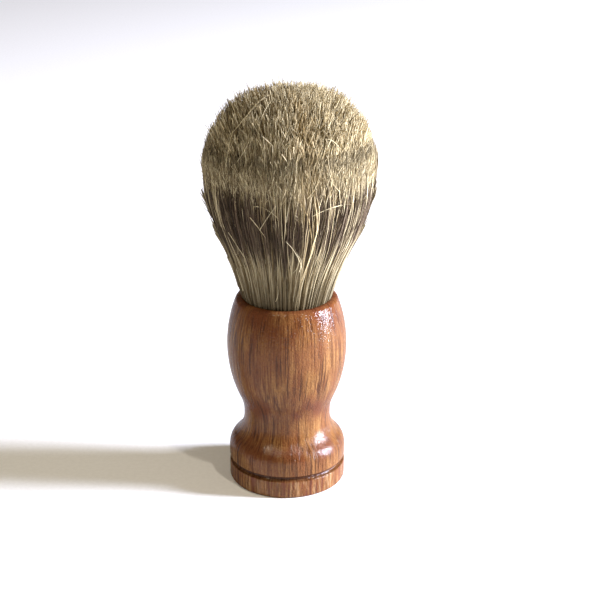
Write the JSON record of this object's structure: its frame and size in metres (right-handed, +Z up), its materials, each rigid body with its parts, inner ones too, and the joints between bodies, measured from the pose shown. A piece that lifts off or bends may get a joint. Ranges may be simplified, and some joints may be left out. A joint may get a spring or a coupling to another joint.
{
  "type": "shaving brush",
  "caption": "Lathe-turned wooden handle with a grooved foot, a narrow waist and a bulb, holding a fanned, dome-topped knot of banded bristle that bends at its root and splays.",
  "frame": {"origin": "centre of the handle's flat foot", "axes": "+Z up the turning axis of the handle to the crown of the bristle; -Y towards the viewer"},
  "size_m": [0.0438, 0.0438, 0.109],
  "materials": {
    "lacquered_wood": "open-pored reddish-brown hardwood under gloss lacquer",
    "bristle": "soft natural bristle, pale at the root and the tip with a dark band between",
    "knot_resin": "cast resin",
    "cured_epoxy": "cured clear amber adhesive",
    "binding_cotton": "waxed cotton thread"
  },
  "bodies": {
    "handle": {"handle": "lacquered_wood", "socket_adhesive": "cured_epoxy", "knot_plug": "knot_resin", "binding_thread": "binding_cotton", "bristle_roots": "bristle"},
    "neck": {"bristle_neck": "bristle"},
    "core": {"bristle_core": "bristle"},
    "outer_lock_01": {"outer_lock_01": "bristle"},
    "outer_lock_02": {"outer_lock_02": "bristle"},
    "outer_lock_03": {"outer_lock_03": "bristle"},
    "outer_lock_04": {"outer_lock_04": "bristle"},
    "outer_lock_05": {"outer_lock_05": "bristle"},
    "outer_lock_06": {"outer_lock_06": "bristle"},
    "outer_lock_07": {"outer_lock_07": "bristle"},
    "outer_lock_08": {"outer_lock_08": "bristle"},
    "outer_lock_09": {"outer_lock_09": "bristle"},
    "outer_lock_10": {"outer_lock_10": "bristle"},
    "outer_lock_11": {"outer_lock_11": "bristle"},
    "outer_lock_12": {"outer_lock_12": "bristle"},
    "inner_lock_01": {"inner_lock_01": "bristle"},
    "inner_lock_02": {"inner_lock_02": "bristle"},
    "inner_lock_03": {"inner_lock_03": "bristle"},
    "inner_lock_04": {"inner_lock_04": "bristle"},
    "inner_lock_05": {"inner_lock_05": "bristle"},
    "inner_lock_06": {"inner_lock_06": "bristle"}
  },
  "joints": [
    {"name": "bend_sideways", "type": "hinge", "parent": "handle", "child": "neck", "pos_m": [0, 0, 0.06055], "axis": [0, 1, 0], "range_deg": [-25, 25], "stiffness_Nm_per_rad": 0.12},
    {"name": "bend_forwards", "type": "hinge", "parent": "neck", "child": "core", "pos_m": [0, 0, 0.06055], "axis": [1, 0, 0], "range_deg": [-25, 25], "stiffness_Nm_per_rad": 0.12},
    {"name": "splay_outer_01", "type": "hinge", "parent": "core", "child": "outer_lock_01", "pos_m": [0.0137, 0.00367, 0.06085], "axis": [-0.2588, 0.9659, 0], "range_deg": [0, 15], "stiffness_Nm_per_rad": 0.01},
    {"name": "splay_outer_02", "type": "hinge", "parent": "core", "child": "outer_lock_02", "pos_m": [0.01003, 0.01003, 0.06085], "axis": [-0.7071, 0.7071, 0], "range_deg": [0, 15], "stiffness_Nm_per_rad": 0.01},
    {"name": "splay_outer_03", "type": "hinge", "parent": "core", "child": "outer_lock_03", "pos_m": [0.00367, 0.0137, 0.06085], "axis": [-0.9659, 0.2588, 0], "range_deg": [0, 15], "stiffness_Nm_per_rad": 0.01},
    {"name": "splay_outer_04", "type": "hinge", "parent": "core", "child": "outer_lock_04", "pos_m": [-0.00367, 0.0137, 0.06085], "axis": [-0.9659, -0.2588, 0], "range_deg": [0, 15], "stiffness_Nm_per_rad": 0.01},
    {"name": "splay_outer_05", "type": "hinge", "parent": "core", "child": "outer_lock_05", "pos_m": [-0.01003, 0.01003, 0.06085], "axis": [-0.7071, -0.7071, 0], "range_deg": [0, 15], "stiffness_Nm_per_rad": 0.01},
    {"name": "splay_outer_06", "type": "hinge", "parent": "core", "child": "outer_lock_06", "pos_m": [-0.0137, 0.00367, 0.06085], "axis": [-0.2588, -0.9659, 0], "range_deg": [0, 15], "stiffness_Nm_per_rad": 0.01},
    {"name": "splay_outer_07", "type": "hinge", "parent": "core", "child": "outer_lock_07", "pos_m": [-0.0137, -0.00367, 0.06085], "axis": [0.2588, -0.9659, 0], "range_deg": [0, 15], "stiffness_Nm_per_rad": 0.01},
    {"name": "splay_outer_08", "type": "hinge", "parent": "core", "child": "outer_lock_08", "pos_m": [-0.01003, -0.01003, 0.06085], "axis": [0.7071, -0.7071, 0], "range_deg": [0, 15], "stiffness_Nm_per_rad": 0.01},
    {"name": "splay_outer_09", "type": "hinge", "parent": "core", "child": "outer_lock_09", "pos_m": [-0.00367, -0.0137, 0.06085], "axis": [0.9659, -0.2588, 0], "range_deg": [0, 15], "stiffness_Nm_per_rad": 0.01},
    {"name": "splay_outer_10", "type": "hinge", "parent": "core", "child": "outer_lock_10", "pos_m": [0.00367, -0.0137, 0.06085], "axis": [0.9659, 0.2588, 0], "range_deg": [0, 15], "stiffness_Nm_per_rad": 0.01},
    {"name": "splay_outer_11", "type": "hinge", "parent": "core", "child": "outer_lock_11", "pos_m": [0.01003, -0.01003, 0.06085], "axis": [0.7071, 0.7071, 0], "range_deg": [0, 15], "stiffness_Nm_per_rad": 0.01},
    {"name": "splay_outer_12", "type": "hinge", "parent": "core", "child": "outer_lock_12", "pos_m": [0.0137, -0.00367, 0.06085], "axis": [0.2588, 0.9659, 0], "range_deg": [0, 15], "stiffness_Nm_per_rad": 0.01},
    {"name": "splay_inner_01", "type": "hinge", "parent": "core", "child": "inner_lock_01", "pos_m": [0.0091, 0, 0.06085], "axis": [0, 1, 0], "range_deg": [0, 7.5], "stiffness_Nm_per_rad": 0.01},
    {"name": "splay_inner_02", "type": "hinge", "parent": "core", "child": "inner_lock_02", "pos_m": [0.00455, 0.00788, 0.06085], "axis": [-0.866, 0.5, 0], "range_deg": [0, 7.5], "stiffness_Nm_per_rad": 0.01},
    {"name": "splay_inner_03", "type": "hinge", "parent": "core", "child": "inner_lock_03", "pos_m": [-0.00455, 0.00788, 0.06085], "axis": [-0.866, -0.5, 0], "range_deg": [0, 7.5], "stiffness_Nm_per_rad": 0.01},
    {"name": "splay_inner_04", "type": "hinge", "parent": "core", "child": "inner_lock_04", "pos_m": [-0.0091, 0, 0.06085], "axis": [0, -1, 0], "range_deg": [0, 7.5], "stiffness_Nm_per_rad": 0.01},
    {"name": "splay_inner_05", "type": "hinge", "parent": "core", "child": "inner_lock_05", "pos_m": [-0.00455, -0.00788, 0.06085], "axis": [0.866, -0.5, 0], "range_deg": [0, 7.5], "stiffness_Nm_per_rad": 0.01},
    {"name": "splay_inner_06", "type": "hinge", "parent": "core", "child": "inner_lock_06", "pos_m": [0.00455, -0.00788, 0.06085], "axis": [0.866, 0.5, 0], "range_deg": [0, 7.5], "stiffness_Nm_per_rad": 0.01}
  ],
  "couplings": [
    {"joint": "splay_outer_02", "follows": "splay_outer_01", "ratio": 1},
    {"joint": "splay_outer_03", "follows": "splay_outer_01", "ratio": 1},
    {"joint": "splay_outer_04", "follows": "splay_outer_01", "ratio": 1},
    {"joint": "splay_outer_05", "follows": "splay_outer_01", "ratio": 1},
    {"joint": "splay_outer_06", "follows": "splay_outer_01", "ratio": 1},
    {"joint": "splay_outer_07", "follows": "splay_outer_01", "ratio": 1},
    {"joint": "splay_outer_08", "follows": "splay_outer_01", "ratio": 1},
    {"joint": "splay_outer_09", "follows": "splay_outer_01", "ratio": 1},
    {"joint": "splay_outer_10", "follows": "splay_outer_01", "ratio": 1},
    {"joint": "splay_outer_11", "follows": "splay_outer_01", "ratio": 1},
    {"joint": "splay_outer_12", "follows": "splay_outer_01", "ratio": 1},
    {"joint": "splay_inner_01", "follows": "splay_outer_01", "ratio": 0.5},
    {"joint": "splay_inner_02", "follows": "splay_outer_01", "ratio": 0.5},
    {"joint": "splay_inner_03", "follows": "splay_outer_01", "ratio": 0.5},
    {"joint": "splay_inner_04", "follows": "splay_outer_01", "ratio": 0.5},
    {"joint": "splay_inner_05", "follows": "splay_outer_01", "ratio": 0.5},
    {"joint": "splay_inner_06", "follows": "splay_outer_01", "ratio": 0.5}
  ]
}
